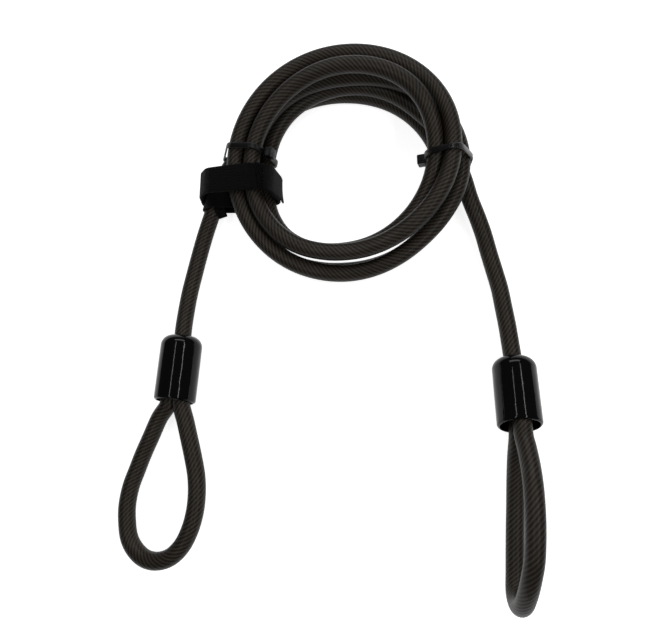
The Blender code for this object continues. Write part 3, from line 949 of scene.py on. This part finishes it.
def taut(discs, radius, directions, lowest):
    """The whole outline of that wrap."""
    return [taut_point(discs, radius, step / directions, lowest) for step in range(directions)]


def perimeter(outline):
    return sum((b - a).length for a, b in zip(outline, outline[1:] + outline[:1]))


def half_plane(degrees):
    """Turns (distance from the axis, height, place across) into the half-plane at this angle."""
    angle = math.radians(degrees)
    outward = Vector((-math.cos(angle), math.sin(angle), 0))
    up = Vector((0, 0, 1))
    turn = Matrix((outward, up, outward.cross(up))).transposed()
    return Matrix.Translation((COIL_CENTRE * MM).to_3d()) @ turn.to_4x4()


class CABLE_OT_ties(bpy.types.Operator):
    """Pulls the two nylon ties round the coil"""

    bl_idname = "security_cable.ties"
    bl_label = "Nylon ties"

    # Each tie's angle round the coil in degrees, and how high its head stands
    SEATS = {"left": (10.0, 0.0240), "right": (178.0, 0.025)}
    # A tie meets the strands at these angles from its own
    SHIFTS = (-1.5, 0, 1.5)
    DIRECTIONS = 96
    ACROSS_STEPS = 2
    GAP = 0.0002
    # In metres: the head's size out from the band, along it and across it, then its finer sizes
    HEAD = (0.0050, 0.0052, 0.0058)
    HEAD_EDGE = 0.0007
    HEAD_STAND_OFF = 0.0004
    SLOT_WALL = 0.0007
    SLOT_DEPTH = 0.0012
    HEAD_SHARP_EDGE = math.radians(40)

    def execute(self, context):
        s = settings()
        material = tie_nylon()
        route = main_route()[0]
        reach = s.cable_diameter / 2 + self.GAP
        for side, (degrees, head_height) in self.SEATS.items():
            discs = []
            for shift in self.SHIFTS:
                discs += section_at(route, degrees + shift)
            seat = half_plane(degrees)
            band = self.band(side, discs, reach, seat, material)
            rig.replaces(band, side + "_tie")
            outline = taut(discs, reach + s.tie_thickness / 2, self.DIRECTIONS, 0)
            head = self.head(side, material)
            head.data.transform(seat @ self.head_place(side, outline, head_height))
            for piece in (band, head):
                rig.slot(piece, "black_nylon")
                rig.ride(piece, "bundle")
        return {"FINISHED"}

    def band(self, side, discs, reach, seat, material):
        """The band, pulled taut round the strands."""
        s = settings()
        section = band_section(s.tie_width, s.tie_thickness, self.ACROSS_STEPS)

        def place(column, row):
            across, off = section[row]
            lowest = FLOOR_GAP + (s.tie_thickness - off)
            point = taut_point(discs, reach + off, column / self.DIRECTIONS, lowest)
            return seat @ Vector((point.x, point.y, across))

        around = perimeter(taut(discs, reach, self.DIRECTIONS, FLOOR_GAP))
        return shaped_grid(side + "_tie_band", self.DIRECTIONS, len(section), place,
                           (around, s.tie_width * 2), True, material)

    def head(self, side, material):
        """The ratchet head: a bevelled block with its slot sunk into the top."""
        deselect()
        bpy.ops.mesh.primitive_cube_add(size=1, location=(0, 0, 0))
        head = bpy.context.active_object
        head.name = head.data.name = side + "_tie_head"
        head.data.transform(Matrix.Diagonal((*self.HEAD, 1)))
        bpy.ops.object.mode_set(mode="EDIT")
        bpy.ops.mesh.select_all(action="SELECT")
        bpy.ops.mesh.bevel(offset=self.HEAD_EDGE, segments=3, affect="EDGES")
        bpy.ops.object.mode_set(mode="OBJECT")
        # The highest face, and the largest if several are as high
        top = max(head.data.polygons, key=lambda face: face.center.y * 1000 + face.area)
        for face in head.data.polygons:
            face.select = face.index == top.index
        bpy.ops.object.mode_set(mode="EDIT")
        bpy.ops.mesh.select_mode(type="FACE")
        bpy.ops.mesh.inset(thickness=self.SLOT_WALL)
        bpy.ops.mesh.extrude_region_move(TRANSFORM_OT_translate={"value": (0, -self.SLOT_DEPTH, 0)})
        bpy.ops.object.mode_set(mode="OBJECT")
        bpy.ops.object.shade_smooth_by_angle(angle=self.HEAD_SHARP_EDGE)
        head.data.materials.append(material)
        return head

    def head_place(self, side, outline, height):
        """The head's place and turn in the band's own plane, on the side that faces the coil's axis."""
        for a, b in zip(outline, outline[1:] + outline[:1]):
            if a.y < height <= b.y or b.y < height <= a.y:
                point = a.lerp(b, (height - a.y) / (b.y - a.y))
                run = (b - a).normalized()
                out = Vector((run.y, -run.x))
                if out.x < 0:
                    turn = Matrix.Rotation(math.atan2(out.y, out.x), 4, "Z")
                    push = Matrix.Translation((self.HEAD[0] / 2 + self.HEAD_STAND_OFF, 0, 0))
                    return Matrix.Translation(point.to_3d()) @ turn @ push
        raise RuntimeError(side + " tie head found no wall")


class CABLE_OT_strap(bpy.types.Operator):
    """Wraps the hook-and-loop strap round the coil and the left lead"""

    bl_idname = "security_cable.strap"
    bl_label = "Hook-and-loop strap"

    # In metres: the strap's middle along Y, and the points it bulges over or is led round, as (x, height)
    MIDDLE = 0.0782
    SLACK = (Vector((-0.0700, 0.0165)), Vector((-0.0672, 0.0205)), Vector((-0.0405, 0.0235)))
    LEAD = (Vector((-0.046, 0.0062)), Vector((-0.0705, 0.0085)))
    # Each turn's name, node, layer, shift along Y, points, and the X past which it leaves the strands out
    TURNS = (
        ("strap_turn", "strap_outer_turn", 1, 0.0, SLACK, math.inf),
        ("strap_cinch", "strap_inner_turn", 0, -0.004, LEAD, -0.060),
    )
    DIRECTIONS = 120
    ACROSS_STEPS = 8
    GAP = 0.0003
    # The tab follows the outer turn from one angle down to the other, then its last columns hang to a height
    TAB_ANGLES = (63, 4)
    TAB_COLUMNS = 40
    TAB_HANGING = 4
    TAB_END_HEIGHT = 0.0075
    TAB_LENGTH = 0.036
    SLOT_END_SIZE = (0.0062, 0.0075, 0.0014)
    SLOT_END_EDGE = 0.0005
    SLOT_END_PLACE = (-0.0668, 0.0645, 0.0095)
    SLOT_END_TILT = (35, 28)

    def execute(self, context):
        material = strap_tape()
        route = main_route()[0]
        for name, node, layer, shift, points, limit in self.TURNS:
            turn = self.turn(name, route, layer, shift, points, limit, material)
            self.finish(turn, "bundle")
            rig.replaces(turn, node)
        tab = self.tab(route, material)
        self.finish(tab, "strap_end")
        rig.replaces(tab, "strap_tab")
        self.finish(self.slot_end(material), "bundle")
        return {"FINISHED"}

    def finish(self, piece, body):
        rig.slot(piece, "hook_and_loop_tape")
        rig.ride(piece, body)

    def section(self):
        s = settings()
        return band_section(s.strap_width, s.strap_thickness, self.ACROSS_STEPS)

    def reach(self, layer):
        """How far this layer's inner face lies from a strand's centre."""
        s = settings()
        return s.cable_diameter / 2 + self.GAP + layer * (s.strap_thickness + self.GAP)

    def discs(self, route, shift, points, limit):
        """For each place across the strap, the strands that it meets there and the points it is led round."""
        met = {}
        for across, _ in self.section():
            strands = crossing_at(route, self.MIDDLE + shift + across)
            met[across] = [strand for strand in strands if strand.x < limit] + list(points)
        return met

    def turn(self, name, route, layer, shift, points, limit, material):
        """One closed turn, pulled taut round what it meets."""
        s = settings()
        section = self.section()
        reach = self.reach(layer)
        lowest = FLOOR_GAP + (1 - layer) * (s.strap_thickness + self.GAP)
        discs = self.discs(route, shift, points, limit)

        def place(column, row):
            across, off = section[row]
            under = lowest + s.strap_thickness - off
            point = taut_point(discs[across], reach + off, column / self.DIRECTIONS, under)
            return Vector((point.x, self.MIDDLE + shift + across, point.y))

        middle = section[self.ACROSS_STEPS // 2][0]
        around = perimeter(taut(discs[middle], reach, self.DIRECTIONS, lowest))
        return shaped_grid(name, self.DIRECTIONS, len(section), place,
                           (around, s.strap_width * 2), True, material)

    def tab(self, route, material):
        """The free end, laid over the outer turn and hanging at its tip."""
        section = self.section()
        reach = self.reach(2)
        discs = self.discs(route, 0.0, self.SLACK, math.inf)
        first, last = self.TAB_ANGLES
        laid = self.TAB_COLUMNS - self.TAB_HANGING

        def place(column, row):
            across, off = section[row]
            degrees = first - (first - last) * (min(column, laid) / laid)
            point = taut_point(discs[across], reach + off, degrees / 360, 0)
            hang = max(0, column - laid) / self.TAB_HANGING
            height = point.y + (self.TAB_END_HEIGHT - point.y) * hang
            return Vector((point.x, self.MIDDLE + across, height))

        return shaped_grid("strap_free_tab", self.TAB_COLUMNS, len(section), place,
                           (self.TAB_LENGTH, settings().strap_width * 2), False, material)

    def slot_end(self, material):
        """The strap's narrow starting end, poking out beside the lead."""
        deselect()
        bpy.ops.mesh.primitive_cube_add(size=1, location=(0, 0, 0))
        end = bpy.context.active_object
        end.name = end.data.name = "strap_slot_end"
        end.data.transform(Matrix.Diagonal((*self.SLOT_END_SIZE, 1)))
        bpy.ops.object.mode_set(mode="EDIT")
        bpy.ops.mesh.select_all(action="SELECT")
        bpy.ops.mesh.bevel(offset=self.SLOT_END_EDGE, segments=2, affect="EDGES")
        bpy.ops.mesh.subdivide(number_cuts=2)
        bpy.ops.object.mode_set(mode="OBJECT")
        about_y, about_z = (math.radians(angle) for angle in self.SLOT_END_TILT)
        tilt = Matrix.Rotation(about_y, 4, "Y") @ Matrix.Rotation(about_z, 4, "Z")
        end.data.transform(Matrix.Translation(self.SLOT_END_PLACE) @ tilt)
        end.data.materials.append(material)
        bpy.ops.object.shade_smooth_by_angle(angle=SHARP_EDGE)
        return end


class CABLE_PT_panel(bpy.types.Panel):
    """Lists the cable's sizes, colours and building steps"""

    bl_idname = "CABLE_PT_panel"
    bl_label = "Security Cable"
    bl_space_type = "VIEW_3D"
    bl_region_type = "UI"
    bl_category = "Security Cable"

    def draw(self, context):
        group = context.scene.security_cable
        for name in group.bl_rna.properties.keys():
            if name not in ("rna_type", "name"):
                self.layout.prop(group, name)
        for operator in OPERATORS:
            self.layout.operator(operator.bl_idname)


OPERATORS = (CABLE_OT_stage, CABLE_OT_cable, CABLE_OT_eyes, CABLE_OT_boots, CABLE_OT_ties, CABLE_OT_strap)
CLASSES = (SecurityCableSettings, *OPERATORS, CABLE_PT_panel)


def register():
    for item in CLASSES:
        bpy.utils.register_class(item)
    bpy.types.Scene.security_cable = bpy.props.PointerProperty(type=SecurityCableSettings)


def unregister():
    del bpy.types.Scene.security_cable
    for item in reversed(CLASSES):
        bpy.utils.unregister_class(item)


def main():
    register()
    bpy.ops.security_cable.stage()
    bpy.ops.security_cable.cable()
    bpy.ops.security_cable.eyes()
    bpy.ops.security_cable.boots()
    bpy.ops.security_cable.ties()
    bpy.ops.security_cable.strap()
    boxes = {"cad": CAD_BOX, "visual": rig.bounds()}
    plain = {name: [list(map(float, corner)) for corner in box] for name, box in boxes.items()}
    with open("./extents.json", "w") as out:
        json.dump(plain, out)


if __name__ == "__main__":
    main()
